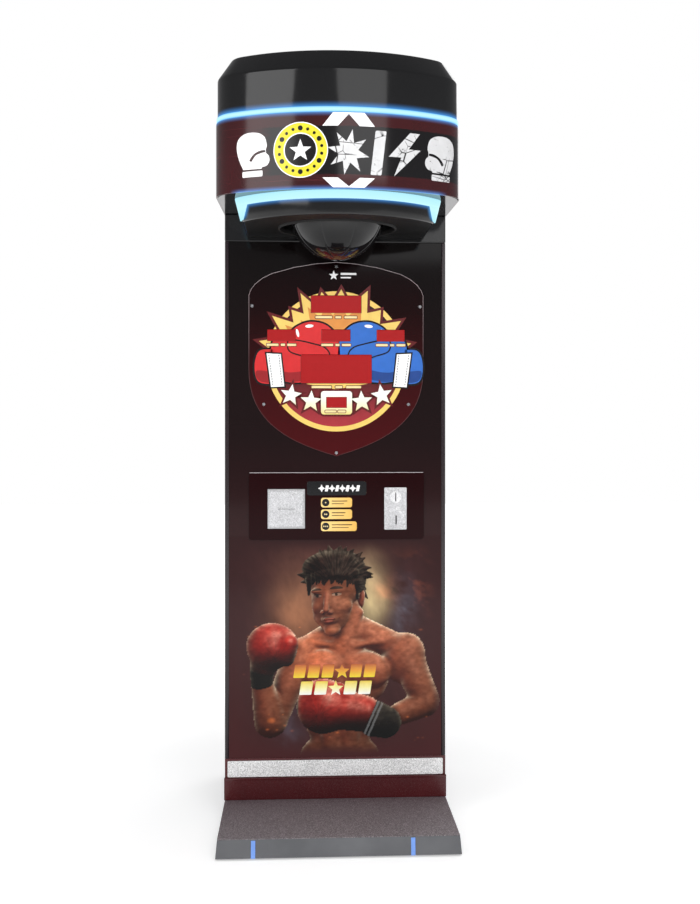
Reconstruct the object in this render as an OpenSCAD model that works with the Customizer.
// Boxing punch machine, millimetres. +Z up, the player stands on the -Y side.
// The origin is on the floor, at the middle of the machine's outer box.

/* [Cabinet] */
// Outer width of the cabinet
cab_w = 660; // [650:1:670]
// Depth from the face of the front panel to the back panel
cab_d = 488; // [470:1:520]
// Height of the top edge of the cabinet sides
cab_h = 1720; // [1712:1:1725]
// Thickness of the cabinet boards
board_t = 12; // [10:1:12]

/* [Base] */
// Height of the base plate with its tread
base_h = 56; // [52:1:60]
// How far the base plate stands out in front of the front panel
base_reach = 359; // [320:1:400]
// How much the front of the base spreads towards the floor
base_flare = 8; // [2:1:12]

/* [Coin panel] */
// Width of the coin panel
coin_w = 524; // [518:1:530]
// Height of the coin panel
coin_h = 201; // [198:1:206]
// Height of the middle of the coin panel above the floor
coin_z = 930.5; // [928:0.5:933]
// Travel of the start button
start_travel = 3; // [1:0.5:3.2]

/* [Head] */
// Height of the whole machine
total_h = 2180; // [2170:1:2200]
// Half width of the graphic shell at its front corners
head_hw = 338; // [334:1:342]
// How far the head stands out in front of the front panel
head_reach = 442; // [436:1:450]
// Radius of the head's front curve
head_r = 527; // [515:1:540]
// Height of the underside of the drum
drum_z = 1800; // [1795:1:1802]

/* [Ball] */
// Radius of the punch ball
ball_r = 136; // [125:1:137]
// Height of the middle of the ball in its resting position
ball_z = 1778.7; // [1774:0.1:1784]
// Radius of the round well that the ball hangs in
well_r = 166; // [166:0.5:167]

/* [Hidden] */
$fn = 64;
e = 0.02;

hw = cab_w / 2;                       // 330
in_w = hw - board_t;                  // 318, inner face of the sides
knuckle_r = 6;
rear_reach = cab_d + 2 * knuckle_r;   // rearmost point, the hinge knuckles
y_shift = (head_reach - rear_reach) / 2;
zb = base_h - 2;                      // top of the tray, under the tread
well_y = -178.5;                      // middle of the well, behind the front panel's face is +

pivot_up = 180;                       // swing pivot above the middle of the ball
pivot_z = ball_z + pivot_up;
rise = 90;                            // travel of the carriage above rest
drop = 150;                           // travel of the carriage below rest
rod_r = 6;
rod_a = [-150, 0];
rod_b = [148, 26];
screw_p = [150, -14];
screw_r = 5;

// score windows: [left, right, bottom, top]
windows = [[-74, 77, 1508, 1560], [-204, -120, 1423, 1458], [-42, 44, 1423, 1458],
    [123, 207, 1423, 1458], [-104, 108, 1297, 1383], [-28, 33, 1224, 1256]];
shield_screw_at = [[2, 1647], [-249.5, 1528], [253.5, 1528], [-214.5, 1234.5], [218.5, 1234.5], [2, 1089]];
coin_x = 3;                           // middle of the coin panel
start_at = [-147.5, 922];             // middle of the start button
start_wh = [111, 118];
face_at = [179, 922];                 // middle of the coin faceplate
face_wh = [67, 126];
reject_at = [185, 923];                // pivot of the coin reject lever
fan_at = [0, 1480];
inlet_at = [170, 190];
rocker_at = [105, 190];
door = [-228, 228, 300, 900];         // left, right, bottom, top of the service door
hinge_x = door[0] - 6;
hinge_y = cab_d + knuckle_r;
lock_at = [200, 600];
feet = [[-270, -310], [270, -310], [-270, 60], [270, 60], [-270, 440], [270, 440]];

module place() { translate([0, y_shift, 0]) children(); }
// box from low corner to high corner
module bx(a, b) { translate(a) cube([b[0] - a[0], b[1] - a[1], b[2] - a[2]]); }
// cylinder along Y from y0 to y1
module cyl_y(x, z, y0, y1, r) { translate([x, y0, z]) rotate([-90, 0, 0]) cylinder(h = y1 - y0, r = r); }
// cylinder along X
module cyl_x(x0, x1, y, z, r) { translate([x0, y, z]) rotate([0, 90, 0]) cylinder(h = x1 - x0, r = r); }
module cyl_z(p, z0, z1, r) { translate([p[0], p[1], z0]) cylinder(h = z1 - z0, r = r); }
// rectangle with round corners, standing in the XZ plane between y0 and y1
module plate_y(x0, x1, z0, z1, r, y0, y1) {
    translate([0, y1, 0]) rotate([90, 0, 0]) linear_extrude(y1 - y0) union() {
        translate([x0 + r, z0]) square([x1 - x0 - 2 * r, z1 - z0]);
        translate([x0, z0 + r]) square([x1 - x0, z1 - z0 - 2 * r]);
        for (x = [x0 + r, x1 - r], z = [z0 + r, z1 - r]) translate([x, z]) circle(r);
    }
}

// ---------- base ----------
module base_block(inset, z0, z1) {
    // side view swept across, cut by the front view swept along
    f = base_flare; s = 4.5;
    k = (zb - z0) / (zb - 5); t = (zb - z1) / (zb - 5);
    intersection() {
        translate([-400, 0, 0]) rotate([90, 0, 90]) linear_extrude(800)
            polygon([[-base_reach - f * k + inset, z0], [cab_d - inset, z0], [cab_d - inset, z1], [-base_reach - f * t + inset, z1]]);
        translate([0, 600, 0]) rotate([90, 0, 0]) linear_extrude(1200)
            polygon([[-hw - s * k + inset, z0], [hw + s * k - inset, z0], [hw + s * t - inset, z1], [-hw - s * t + inset, z1]]);
    }
}
strip_at = [[-238.6, -226.6], [195.2, 207.2]];
module base_tray() {
    color("dimgray") place() difference() {
        base_block(0, 5, zb);
        base_block(3, 5 - 0.01, zb - 3);
        for (s = strip_at) bx([s[0], -base_reach - 40, 0], [s[1], -base_reach + 8, zb - 3]);
    }
}
module base_light_strips() {
    color("lightskyblue") place() for (s = strip_at) intersection() {
        difference() { base_block(-0.4, 5, zb - 3); base_block(3, 0, zb + 1); }
        bx([s[0] + 0.1, -base_reach - 40, 0], [s[1] - 0.1, -base_reach + 8, zb]);
    }
}
module base_tread() { color("gray") place() bx([-hw, -base_reach, zb], [hw, -9, base_h]); }
module base_ribs() {
    color("silver") place() for (y = [-310, 60, 440]) difference() {
        bx([-hw + 6, y - 15, 21], [hw - 6, y + 15, zb - 3]);
        bx([-hw + 5, y - 12, 24], [hw - 5, y + 12, zb - 6]);
        for (x = [-270, 270]) cyl_z([x, y], 20, 25, 4);
    }
}
module rubber_feet() {
    color("black") place() for (p = feet) translate([p[0], p[1], 0]) difference() {
        union() { cylinder(h = 15, r = 28); translate([0, 0, 15]) cylinder(h = 6, r = 20); }
        translate([0, 0, -1]) cylinder(h = 7, r = 9);
        cylinder(h = 30, r = 4);
    }
}
module foot_bolts() {
    color("silver") place() for (p = feet) translate([p[0], p[1], 0]) {
        translate([0, 0, 2]) cylinder(h = 4, r = 8);
        translate([0, 0, 6]) cylinder(h = 26, r = 4);
        translate([0, 0, 24]) rotate([0, 0, 30]) difference() { cylinder(h = 7, r = 8, $fn = 6); translate([0, 0, -1]) cylinder(h = 9, r = 4); }
    }
}

// ---------- cabinet ----------
module kick_board() {
    color("maroon") place() union() {
        bx([-332, -9, base_h], [332, 1, 121]);
        bx([-in_w, 1, base_h], [in_w, 4, 121]);
        translate([-332, 0, 0]) rotate([90, 0, 90]) linear_extrude(664) polygon([[-9, 114], [-11, 117], [-11, 121], [-9, 121]]);
        bx([-hw, -3, 121], [hw, 0, 178]);
        for (s = [-1, 1]) bx([s * (hw + in_w) / 2 - board_t / 2, 0, 121], [s * (hw + in_w) / 2 + board_t / 2, 1, 178]);
    }
}
module kick_strip() { color("gainsboro") place() plate_y(-322, 322, 123, 171, 3, -5, -3); }
module side_panel(s) {
    difference() {
        bx([s > 0 ? in_w : -hw, 1, zb], [s > 0 ? hw : -in_w, cab_d, cab_h]);
        // a row of cable and frame screw holes is left out; one fresh-air slot row low down
        for (i = [0:5]) bx([s > 0 ? in_w - 1 : -hw - 1, 330 + 0, 150 + 18 * i], [s > 0 ? hw + 1 : -in_w + 1, 430, 156 + 18 * i]);
    }
}
module side_panel_left() { color([0.16, 0.12, 0.12]) place() side_panel(-1); }
module side_panel_right() { color([0.16, 0.12, 0.12]) place() side_panel(1); }
module edge_trims() {
    color("dimgray") place() for (s = [-1, 1]) {
        c = s * (hw + in_w) / 2;
        translate([0, 0, 178]) linear_extrude(cab_h - 178)
            polygon([[c - board_t / 2, 1], [c - board_t / 2, -1], [c - board_t / 2 + 2, -2.5], [c + board_t / 2 - 2, -2.5], [c + board_t / 2, -1], [c + board_t / 2, 1]]);
    }
}
module cabinet_frame() {
    color("slategray") place() union() {
        for (x = [-in_w, in_w - 25], y = [19, cab_d - board_t - 25]) bx([x, y, zb], [x + 25, y + 25, cab_h]);
        for (x = [-in_w, in_w - 25], z = [zb, 1000, cab_h - 25]) bx([x, 43, z], [x + 25, cab_d - board_t - 24, z + 25]);
        for (y = [19, cab_d - board_t - 25]) bx([-in_w + 24, y, cab_h - 25], [in_w - 24, y + 25, cab_h]);
    }
}
module cabinet_floor() { color("peru") place() bx([-in_w + 25, 19, zb], [in_w - 25, cab_d - board_t, zb + 12]); }
module panel_cuts(g, y0, y1) {
    // openings that pass through the front sheet and its backing board
    for (w = windows) bx([w[0] - g, y0, w[2] - g], [w[1] + g, y1, w[3] + g]);
    bx([face_at[0] - 28 - g, y0, face_at[1] - 58 - g], [face_at[0] + 28 + g, y1, face_at[1] + 58 + g]);
    cyl_y(start_at[0], start_at[1], y0, y1, 13);
}
module front_board() {
    color("burlywood") place() difference() {
        bx([-in_w, 4, zb], [in_w, 19, cab_h]);
        panel_cuts(3, 3, 20);
    }
}
module front_panel() {
    color([0.1, 0.05, 0.05]) place() difference() {
        bx([-in_w, 0, 121], [in_w, 4, cab_h]);
        panel_cuts(0.5, -1, 5);
    }
}
module rear_panel() {
    color([0.12, 0.12, 0.12]) place() difference() {
        bx([-in_w, cab_d - board_t, zb], [in_w, cab_d, cab_h]);
        bx([door[0] - 2, cab_d - board_t - 1, door[2] - 2], [door[1] + 2, cab_d + 1, door[3] + 2]);
        cyl_y(fan_at[0], fan_at[1], cab_d - board_t - 1, cab_d + 1, 57);
        bx([inlet_at[0] - 24, cab_d - board_t - 1, inlet_at[1] - 14], [inlet_at[0] + 24, cab_d + 1, inlet_at[1] + 14]);
        bx([rocker_at[0] - 11, cab_d - board_t - 1, rocker_at[1] - 15], [rocker_at[0] + 11, cab_d + 1, rocker_at[1] + 15]);
        for (i = [0:6]) bx([-60, cab_d - board_t - 1, 1150 + 16 * i], [60, cab_d + 1, 1156 + 16 * i]);
    }
}
module service_door() {
    color([0.15, 0.15, 0.15]) place() difference() {
        bx([door[0], cab_d - board_t, door[2]], [door[1], cab_d, door[3]]);
        cyl_y(lock_at[0], lock_at[1], cab_d - board_t - 1, cab_d + 1, 9);
        for (i = [0:5]) bx([-80, cab_d - board_t - 1, 760 + 16 * i], [80, cab_d + 1, 766 + 16 * i]);
    }
}
hinge_zs = [360, 600, 840];
module hinge_frame_leaves() {
    color("silver") place() for (z = hinge_zs) difference() {
        union() {
            bx([hinge_x - 26, cab_d, z - 35], [hinge_x, cab_d + 2, z + 35]);
            for (k = [-35, 11]) translate([hinge_x, hinge_y, z + k]) cylinder(h = 24, r = knuckle_r);
        }
        bx([hinge_x - 7, cab_d - 1, z - 11.2], [hinge_x + 7, cab_d + 13, z + 11.2]);
        translate([hinge_x, hinge_y, z - 40]) cylinder(h = 80, r = 2.4);
    }
}
module hinge_door_leaves() {
    color("silver") place() for (z = hinge_zs) difference() {
        union() {
            bx([hinge_x, cab_d, z - 10.9], [hinge_x + 7, cab_d + 2, z + 10.9]);
            bx([hinge_x + 7, cab_d, z - 35], [hinge_x + 30, cab_d + 2, z + 35]);
            translate([hinge_x, hinge_y, z - 10.9]) cylinder(h = 21.8, r = knuckle_r);
        }
        translate([hinge_x, hinge_y, z - 40]) cylinder(h = 80, r = 2.45);
    }
}
module hinge_pins() { color("gainsboro") place() for (z = hinge_zs) translate([hinge_x, hinge_y, z - 35]) cylinder(h = 70, r = 2.4); }
module lock_barrel() {
    color("gainsboro") place() difference() {
        union() {
            cyl_y(lock_at[0], lock_at[1], cab_d - board_t - 8, cab_d, 9);
            cyl_y(lock_at[0], lock_at[1], cab_d, cab_d + 3, 13);
        }
        cyl_y(lock_at[0], lock_at[1], cab_d - board_t - 10, cab_d + 5, 6);
    }
}
module lock_cam() {
    color("goldenrod") place() {
        difference() {
            cyl_y(lock_at[0], lock_at[1], cab_d - board_t - 13, cab_d + 4, 5.94);
            bx([lock_at[0] - 0.8, cab_d + 1, lock_at[1] - 3.5], [lock_at[0] + 0.8, cab_d + 6, lock_at[1] + 3.5]);
        }
        difference() {
            bx([lock_at[0] - 8, cab_d - board_t - 12, lock_at[1] - 26], [lock_at[0] + 8, cab_d - board_t - 9, lock_at[1] + 8]);
            cyl_y(lock_at[0], lock_at[1], cab_d - board_t - 14, cab_d, 5.94);
        }
    }
}
module fan_body() {
    y0 = cab_d - board_t - 25; y1 = cab_d - board_t;
    color("black") place() union() {
        difference() {
            bx([fan_at[0] - 60, y0, fan_at[1] - 60], [fan_at[0] + 60, y1, fan_at[1] + 60]);
            cyl_y(fan_at[0], fan_at[1], y0 - 1, y1 + 1, 57);
        }
        difference() {
            union() {
                cyl_y(fan_at[0], fan_at[1], y0, y0 + 4, 20);
                bx([fan_at[0] - 58, y0, fan_at[1] - 3], [fan_at[0] + 58, y0 + 4, fan_at[1] + 3]);
                bx([fan_at[0] - 3, y0, fan_at[1] - 58], [fan_at[0] + 3, y0 + 4, fan_at[1] + 58]);
            }
            cyl_y(fan_at[0], fan_at[1], y0 - 1, y0 + 5, 3.05);
        }
    }
}
module fan_rotor() {
    y0 = cab_d - board_t - 25;
    color("dimgray") place() {
        cyl_y(fan_at[0], fan_at[1], y0 + 0.5, y0 + 5, 3);
        cyl_y(fan_at[0], fan_at[1], y0 + 5, y0 + 23, 19);
        for (i = [0:6]) translate([fan_at[0], y0 + 14, fan_at[1]]) rotate([0, i * 360 / 7, 0])
            translate([36, 0, 0]) rotate([35, 0, 0]) cube([35.4, 2, 22], center = true);
    }
}
module fan_guard() {
    color("silver") place() difference() {
        union() {
            difference() { bx([-62, cab_d, fan_at[1] - 62], [62, cab_d + 2, fan_at[1] + 62]); cyl_y(0, fan_at[1], cab_d - 1, cab_d + 3, 56); }
            for (r = [14, 26, 38, 50]) difference() { cyl_y(0, fan_at[1], cab_d, cab_d + 2, r + 1.5); cyl_y(0, fan_at[1], cab_d - 1, cab_d + 3, r - 1.5); }
            bx([-57, cab_d, fan_at[1] - 1.5], [57, cab_d + 2, fan_at[1] + 1.5]);
            bx([-1.5, cab_d, fan_at[1] - 57], [1.5, cab_d + 2, fan_at[1] + 57]);
        }
        for (x = [-52, 52], z = [-52, 52]) cyl_y(x, fan_at[1] + z, cab_d - 1, cab_d + 3, 2.2);
    }
}
module power_inlet() {
    color("black") place() difference() {
        union() {
            bx([inlet_at[0] - 24, cab_d - board_t - 22, inlet_at[1] - 14], [inlet_at[0] + 24, cab_d, inlet_at[1] + 14]);
            plate_y(inlet_at[0] - 30, inlet_at[0] + 30, inlet_at[1] - 17, inlet_at[1] + 17, 3, cab_d, cab_d + 3);
        }
        plate_y(inlet_at[0] - 12.2, inlet_at[0] + 12.2, inlet_at[1] - 8, inlet_at[1] + 8, 2, cab_d - 16, cab_d + 4);
    }
}
module switch_body() {
    color("black") place() difference() {
        union() {
            bx([rocker_at[0] - 11, cab_d - board_t - 14, rocker_at[1] - 15], [rocker_at[0] + 11, cab_d, rocker_at[1] + 15]);
            bx([rocker_at[0] - 14, cab_d, rocker_at[1] - 18], [rocker_at[0] + 14, cab_d + 2, rocker_at[1] + 18]);
        }
        bx([rocker_at[0] - 8.5, cab_d - 12, rocker_at[1] - 13], [rocker_at[0] + 8.5, cab_d + 3, rocker_at[1] + 13]);
        cyl_x(rocker_at[0] - 10.2, rocker_at[0] + 10.2, cab_d - 1, rocker_at[1], 1.55);
    }
}
module switch_rocker() {
    color("firebrick") place() {
        translate([rocker_at[0] - 8, cab_d - 1, rocker_at[1]]) rotate([10, 0, 0]) rotate([90, 0, 90]) linear_extrude(16)
            polygon([[-2, -11], [3, -11], [4.4, -5], [4.7, 0], [4.4, 5], [3, 11], [-2, 11], [-5, 4], [-5, -4]]);
        for (s = [-1, 1]) cyl_x(rocker_at[0] + (s > 0 ? 8 : -10), rocker_at[0] + (s > 0 ? 10 : -8), cab_d - 1, rocker_at[1], 1.5);
    }
}
module power_supply() {
    color("silver") place() union() {
        bx([-230, 180, zb + 12], [-130, 400, zb + 62]);
        bx([-226, 172, zb + 20], [-134, 181, zb + 40]);
    }
}
module control_board() {
    color("darkgreen") place() {
        bx([in_w - 40, 150, 1180], [in_w - 38, 400, 1480]);
        for (y = [165, 385], z = [1195, 1465]) cyl_x(in_w - 38, in_w, y, z, 4);
        bx([in_w - 56, 180, 1220], [in_w - 40, 240, 1280]);
        bx([in_w - 48, 280, 1220], [in_w - 40, 330, 1270]);
        bx([in_w - 52, 170, 1400], [in_w - 40, 380, 1425]);
    }
}
module speaker() {
    color("dimgray") place() {
        translate([0, cab_d - board_t - 24, 1201]) rotate([-90, 0, 0]) difference() { cylinder(h = 24, r = 68); translate([0, 0, 6]) cylinder(h = 20, r = 58); }
        translate([0, cab_d - board_t - 60, 1201]) rotate([-90, 0, 0]) cylinder(h = 36, r = 36);
    }
}
module cash_box() {
    color("silver") place() difference() {
        bx([100, 60, zb + 12], [250, 260, zb + 150]);
        bx([102, 62, zb + 14], [248, 258, zb + 151]);
    }
}

// ---------- coin panel ----------
module coin_panel() {
    z0 = coin_z - coin_h / 2;
    color([0.12, 0.02, 0.02]) place() difference() {
        plate_y(coin_x - coin_w / 2, coin_x + coin_w / 2, z0, z0 + coin_h, 10, -6, 0);
        bx([start_at[0] - start_wh[0] / 2 - 1, -7, start_at[1] - start_wh[1] / 2 - 1], [start_at[0] + start_wh[0] / 2 + 1, 1, start_at[1] + start_wh[1] / 2 + 1]);
        bx([face_at[0] - 28.5, -7, face_at[1] - 58.5], [face_at[0] + 28.5, 1, face_at[1] + 58.5]);
    }
}
module start_button() {
    w = start_wh[0] / 2; h = start_wh[1] / 2;
    color("silver") place() {
        intersection() {
            translate([start_at[0], 0, start_at[1] - h]) linear_extrude(2 * h)
                polygon([[-w, -3.5], [w, -3.5], [w, -7], [w - 7, -12.5], [-w + 7, -12.5], [-w, -7]]);
            translate([start_at[0] - w, 0, start_at[1]]) rotate([90, 0, 90]) linear_extrude(2 * w)
                polygon([[-3.5, -h], [-7, -h], [-12.5, -h + 7], [-12.5, h - 7], [-7, h], [-3.5, h]]);
        }
        cyl_y(start_at[0], start_at[1], -3.5, 34, 10);
    }
}
module start_switch() {
    color("black") place() difference() {
        bx([start_at[0] - 32, 19, start_at[1] - 32], [start_at[0] + 32, 62, start_at[1] + 32]);
        cyl_y(start_at[0], start_at[1], 18, 42, 10.05);
        cyl_y(start_at[0], start_at[1], 41, 58, 8);
    }
}
module coin_faceplate() {
    color("silver") place() difference() {
        plate_y(face_at[0] - face_wh[0] / 2, face_at[0] + face_wh[0] / 2, face_at[1] - face_wh[1] / 2, face_at[1] + face_wh[1] / 2, 3, -9, -6);
        cyl_y(179.8, 956.9, -10, -5, 15);
        bx([179.2, -10, 875], [182.8, -5, 901]);
        cyl_y(reject_at[0], reject_at[1], -10, -5, 4.06);
    }
}
module coin_entry_disc() {
    color("gainsboro") place() difference() {
        union() { cyl_y(179.8, 956.9, -12, -9, 17.6); cyl_y(179.8, 956.9, -9, -6, 15); }
        bx([178.3, -13, 944], [181.3, -5, 970]);
    }
}
module reject_lever() {
    color("dimgray") place() {
        cyl_y(reject_at[0], reject_at[1], -11.5, 12, 4);
        cyl_y(reject_at[0], reject_at[1], -11.8, -9.4, 5.5);
        // arm that points down and to the right, with a round end
        translate([reject_at[0], -11.8, reject_at[1]]) rotate([0, -37.5, 0]) {
            bx([-2.6, 0, -29], [2.6, 2.4, 0]);
            cyl_y(0, -29, 0, 2.4, 2.6);
        }
    }
}
module coin_mech() {
    color("black") place() difference() {
        bx([face_at[0] - 28, -6, face_at[1] - 58], [face_at[0] + 28, 70, face_at[1] + 58]);
        bx([178.3, -7, 944], [181.3, 60, 970]);
        bx([179.2, -7, 875], [182.8, 40, 901]);
        cyl_y(reject_at[0], reject_at[1], -7, 13, 4.06);
        bx([face_at[0] - 20, 62, 880], [face_at[0] + 20, 71, 960]);
    }
}
module instruction_labels() {
    color("khaki") place() for (l = [[-86, 92, 962, 1004], [-44, 49, 926, 955], [-44, 49, 891, 920], [-44, 63, 855, 884]])
        plate_y(l[0], l[1], l[2], l[3], 7, -6.8, -6);
}

// ---------- score shield ----------
function bez(a, b, c, d, t) = a * pow(1 - t, 3) + 3 * b * t * pow(1 - t, 2) + 3 * c * t * t * (1 - t) + d * pow(t, 3);
shield_half = concat(
    [[0, 1661], [60, 1656], [125, 1645], [193, 1626], [222, 1611], [243, 1594], [256, 1577], [262, 1560]],
    [for (i = [0:20]) bez([262, 1339], [262, 1190], [160, 1124], [0, 1079], i / 20)]);
shield_pts = concat(shield_half, [for (i = [len(shield_half) - 2:-1:1]) [-shield_half[i][0], shield_half[i][1]]]);
module score_shield() {
    color([0.2, 0.03, 0.05]) place() difference() {
        translate([2, 0, 0]) rotate([90, 0, 0]) linear_extrude(3) polygon(shield_pts);
        for (w = windows) bx([w[0], -4, w[2]], [w[1], 1, w[3]]);
        for (p = shield_screw_at) cyl_y(p[0], p[1], -4, 1, 2.5);
    }
}
module score_windows() { color("red") place() for (w = windows) bx([w[0], -3, w[2]], [w[1], 0, w[3]]); }
module shield_screws() {
    color("silver") place() for (p = shield_screw_at) difference() {
        union() { cyl_y(p[0], p[1], -5, -3, 4.5); cyl_y(p[0], p[1], -3, 0, 2.5); }
        translate([p[0], -5.5, p[1]]) rotate([-90, 0, 0]) cylinder(h = 1.6, r = 2, $fn = 6);
    }
}
module score_displays() {
    color("darkgreen") place() union() {
        for (w = windows) bx([w[0], 0.2, w[2]], [w[1], 19.5, w[3]]);
        bx([-220, 19, 1410], [224, 21, 1572]);
        bx([-120, 19, 1212], [124, 21, 1395]);
    }
}

// ---------- head ----------
// Plan of the drum: a front arc, a round corner and nearly straight tapering sides.
// d moves the whole outline inwards.
module drum_plan(d) {
    r0 = head_r - d; cy = -head_reach + head_r;
    rc = 70 - d;
    fx = head_hw - d; rx = hw + 2 - d;      // half width at the corner and at the front panel's plane
    ya = -285;
    // direction of the side line and its inner normal
    a = atan2(fx - rx, -ya);
    // centre of the corner circle: rc inside the side line, r0 - rc from the arc's centre
    sx = fx - rc * cos(a);
    k = tan(a);
    // the centre lies on x = sx + k * (ya - y) ; solve for y on the circle by a few fixed steps
    function cyy(y, n) = n == 0 ? y : cyy(cy - sqrt(pow(r0 - rc, 2) - pow(sx + k * (ya - y) , 2)), n - 1);
    qy = cyy(ya, 12);
    qx = sx + k * (ya - qy);
    u1 = [qx, qy - cy] / norm([qx, qy - cy]);   // from the corner circle's centre to where it meets the arc
    u2 = [cos(a), sin(a)];                      // and to where it meets the side
    union() {
        difference() {
            intersection() {
                translate([0, cy]) circle(r0, $fn = 180);
                polygon([[-fx - k * 200, ya - 200], [fx + k * 200, ya - 200], [rx, 0], [-rx, 0]]);
            }
            for (m = [-1, 1]) corner_wedge(m, [qx, qy], u1, u2);
        }
        for (m = [-1, 1]) intersection() {
            translate([m * qx, qy]) circle(rc, $fn = 72);
            corner_wedge(m, [qx, qy], u1, u2);
        }
        polygon([[-rx, 0], [rx, 0], [hw - d, 120], [hw - d, cab_d - d], [-hw + d, cab_d - d], [-hw + d, 120]]);
    }
}
module corner_wedge(m, q, u1, u2) {
    pts = [q, q + 150 * u1, q + 300 * (u1 + u2), q + 150 * u2];
    polygon([for (t = pts) [m * t[0], t[1]]]);
}
module drum_ring(d0, d1, z0, z1) {
    difference() {
        translate([0, 0, z0]) linear_extrude(z1 - z0) drum_plan(d0);
        translate([0, 0, z0 - 1]) linear_extrude(z1 - z0 + 2) drum_plan(d1);
    }
}
module drum_lower_shell() { color([0.35, 0.08, 0.1]) place() drum_ring(0, 5, drum_z, 2003); }
module drum_led_ring() { color("paleturquoise") place() drum_ring(1, 14, 2003, 2019); }
module drum_slab(d, z) { translate([0, 0, z]) linear_extrude(0.02) drum_plan(d); }
module drum_upper_shell() {
    ch = 58; inset = 40;
    color([0.12, 0.12, 0.12]) place() difference() {
        hull() { drum_slab(4, 2019); drum_slab(4, total_h - ch); drum_slab(4 + inset, total_h - 0.02); }
        hull() { drum_slab(9, 2010); drum_slab(9, total_h - ch - 4); drum_slab(8 + inset, total_h - 5); }
    }
}
module well_cut(r, z0, z1) { cyl_z([0, well_y], z0, z1, r); }
// floor of the drum around the neck, and the deck that carries the ball drive
module drum_floor() {
    color([0.1, 0.1, 0.1]) place() difference() {
        translate([0, 0, drum_z]) linear_extrude(5) drum_plan(5);
        well_cut(well_r + 3, drum_z - 1, drum_z + 6);
        bx([-200, 60, drum_z - 1], [200, 440, drum_z + 6]);
    }
}
module head_rear_housing() {
    color([0.12, 0.12, 0.12]) place() difference() {
        bx([-hw, -8, cab_h], [hw, cab_d, drum_z]);
        bx([-hw + 12, 4, cab_h + 6], [hw - 12, cab_d - 12, drum_z + 1]);
        bx([-200, 60, cab_h - 1], [200, 440, cab_h + 7]);
    }
}
module neck_plan(hwf, yf, d) {
    // straight sides back to the housing, and one front arc through both front corners
    ycorner = -281; c = (pow(hwf, 2) + pow(ycorner, 2) - pow(yf, 2)) / (2 * (ycorner - yf));
    intersection() {
        polygon([[-hwf + d, -8], [-hwf + d, -600], [hwf - d, -600], [hwf - d, -8]]);
        union() {
            translate([0, c]) circle(c - yf - d, $fn = 180);
            translate([-400, c]) square([800, 600]);
        }
    }
}
module neck_outer() { hull() { translate([0, 0, 1735]) linear_extrude(0.01) neck_plan(265.5, -426.5, 0); translate([0, 0, drum_z - 0.01]) linear_extrude(0.01) neck_plan(282, -430, 0); } }
module neck_inner() { hull() { translate([0, 0, 1734]) linear_extrude(0.01) neck_plan(265.5, -426.5, 4); translate([0, 0, drum_z + 1]) linear_extrude(0.01) neck_plan(282, -430, 4); } }
module neck_skirt() { color([0.14, 0.14, 0.14]) place() difference() { neck_outer(); neck_inner(); } }
module neck_floor() {
    color([0.1, 0.1, 0.1]) place() difference() {
        translate([0, 0, 1735]) linear_extrude(5) neck_plan(265.5, -426.5, 4.2);
        well_cut(well_r, 1734, 1741);
    }
}
// light strip along the top of the skirt's front arc, with a pointed leg down each front corner
module neck_led_strip() {
    color("paleturquoise") place() difference() {
        intersection() {
            hull() {
                translate([0, 0, 1730]) linear_extrude(0.01) neck_plan(264.2, -425.2, -5);
                translate([0, 0, drum_z - 0.2]) linear_extrude(0.01) neck_plan(282, -430, -5);
            }
            union() {
                bx([-400, -500, 1777], [400, -262, drum_z]);
                for (m = [-1, 1]) translate([0, -262, 0]) rotate([90, 0, 0]) linear_extrude(90)
                    polygon([[m * 300, 1778], [m * 252, 1778], [m * 262, 1737], [m * 272, 1737]]);
            }
        }
        hull() {
            translate([0, 0, 1728]) linear_extrude(0.01) neck_plan(264.2, -426.6, -0.8);
            translate([0, 0, drum_z + 3]) linear_extrude(0.01) neck_plan(283, -430.6, -0.8);
        }
    }
}
module well_liner() {
    color("black") place() union() {
        difference() {
            well_cut(well_r + 3, 1740, 2096);
            well_cut(well_r, 1739, 2090);
            // holes in the crown for the rods and the screw's coupling
            for (p = [rod_a, rod_b]) cyl_z([p[0], well_y + p[1]], 2085, 2100, rod_r);
            cyl_z([screw_p[0], well_y + screw_p[1]], 2085, 2100, 7);
        }
        // welded feet that hold the rods and the screw's lower bearing
        difference() {
            union() {
                translate([rod_a[0] - 17, well_y - 9, 1780]) cube([25, 18, 6]);
                translate([141.5, well_y - 24, 1780]) cube([25, 60, 6]);
            }
            difference() { well_cut(200, 1770, 1790); well_cut(well_r + 1, 1769, 1791); }
            cyl_z([screw_p[0], well_y + screw_p[1]], 1779, 1788, screw_r + 0.05);
        }
    }
}
module well_bumper() {
    color([0.05, 0.05, 0.05]) place() translate([0, well_y, 1729]) rotate_extrude() polygon([[well_r - 2, 1], [well_r, 0], [well_r + 2, 1], [well_r + 2.5, 6], [well_r - 0.01, 6], [well_r - 0.01, 12], [well_r - 2.5, 12], [well_r - 2.5, 3]]);
}
module guide_rods() { color("silver") place() for (p = [rod_a, rod_b]) cyl_z([p[0], well_y + p[1]], 1786, 2100, rod_r); }
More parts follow.
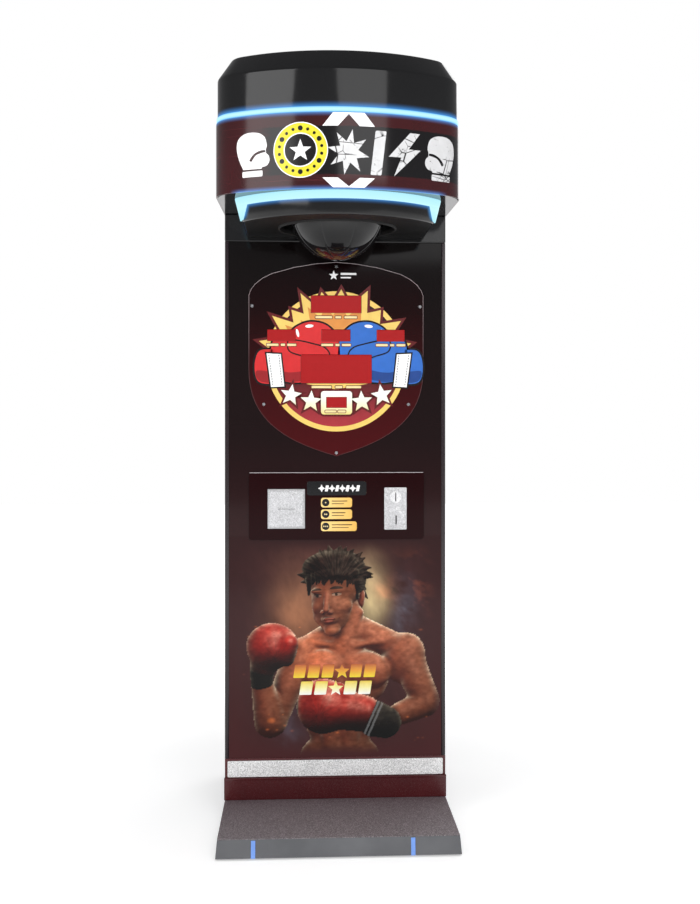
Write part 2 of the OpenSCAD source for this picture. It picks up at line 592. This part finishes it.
// geared motor on top of the crown
module drive_motor() {
    color("dimgray") place() translate([screw_p[0], well_y + screw_p[1], 2096]) difference() {
        union() {
            translate([-24, -24, 0]) cube([48, 48, 5]);
            translate([-20, -20, 5]) cube([40, 40, 30]);
            translate([0, 0, 35]) cylinder(h = 18, r = 18);
        }
        translate([0, 0, -1]) cylinder(h = 18, r = 7.5);
    }
}
module ball_carriage() {
    color("lightsteelblue") place() union() {
        difference() {
            union() {
                bx([rod_a[0] - 11, well_y - 12, pivot_z + 17], [screw_p[0] + 10, well_y + 12, pivot_z + 33]);
                for (p = [rod_a, rod_b]) cyl_z([p[0], well_y + p[1]], pivot_z - 12, pivot_z + 33, 10.5);
                cyl_z([screw_p[0], well_y + screw_p[1]], pivot_z - 6, pivot_z + 33, 9.5);
                bx([141, well_y - 14, pivot_z + 17], [156, well_y + 26, pivot_z + 33]);
            }
            for (p = [rod_a, rod_b]) cyl_z([p[0], well_y + p[1]], pivot_z - 60, pivot_z + 60, rod_r + 0.05);
            cyl_z([screw_p[0], well_y + screw_p[1]], pivot_z - 60, pivot_z + 60, screw_r + 0.1);
            difference() { well_cut(220, pivot_z - 60, pivot_z + 60); well_cut(well_r - 2, pivot_z - 61, pivot_z + 61); }
        }
        // fork that holds the swing pin
        for (s = [-1, 1]) bx([s > 0 ? 16 : -24, well_y - 11, pivot_z - 12], [s > 0 ? 24 : -16, well_y + 11, pivot_z + 17.5]);
        cyl_x(-27, 27, well_y, pivot_z, 6);
    }
}
module ball_lead_screw() {
    color("gainsboro") place() translate([screw_p[0], well_y + screw_p[1], 0]) {
        translate([0, 0, 1781]) cylinder(h = 2094 - 1781, r = screw_r);
        translate([0, 0, 2092]) cylinder(h = 18, r = 6.5);
    }
}
module ball_stem() {
    color("silver") place() translate([0, well_y, 0]) difference() {
        union() {
            translate([0, 0, ball_z + ball_r - 8]) cylinder(h = 14, r = 36);
            translate([0, 0, ball_z + ball_r]) cylinder(h = pivot_up - ball_r - 8, r = 11);
            translate([-13, 0, pivot_z]) rotate([0, 90, 0]) cylinder(h = 26, r = 14);
        }
        translate([-14, 0, pivot_z]) rotate([0, 90, 0]) cylinder(h = 28, r = 6.05);
        translate([0, 0, ball_z]) sphere(r = ball_r, $fn = 128);
    }
}
module punch_ball() {
    color([0.04, 0.04, 0.05]) place() translate([0, well_y, ball_z]) difference() {
        sphere(r = ball_r, $fn = 128);
        sphere(r = ball_r - 9, $fn = 96);
    }
}

base_tray();
base_tread();
base_light_strips();
base_ribs();
rubber_feet();
foot_bolts();
kick_board();
kick_strip();
side_panel_left();
side_panel_right();
edge_trims();
cabinet_frame();
cabinet_floor();
front_board();
front_panel();
rear_panel();
service_door();
hinge_frame_leaves();
hinge_door_leaves();
hinge_pins();
lock_barrel();
lock_cam();
fan_body();
fan_rotor();
fan_guard();
power_inlet();
switch_body();
switch_rocker();
power_supply();
control_board();
speaker();
cash_box();
coin_panel();
start_button();
start_switch();
coin_faceplate();
coin_entry_disc();
reject_lever();
coin_mech();
instruction_labels();
score_shield();
score_windows();
shield_screws();
score_displays();
head_rear_housing();
drum_lower_shell();
drum_led_ring();
drum_upper_shell();
drum_floor();
neck_skirt();
neck_led_strip();
neck_floor();
well_liner();
well_bumper();
guide_rods();
drive_motor();
ball_carriage();
ball_lead_screw();
ball_stem();
punch_ball();
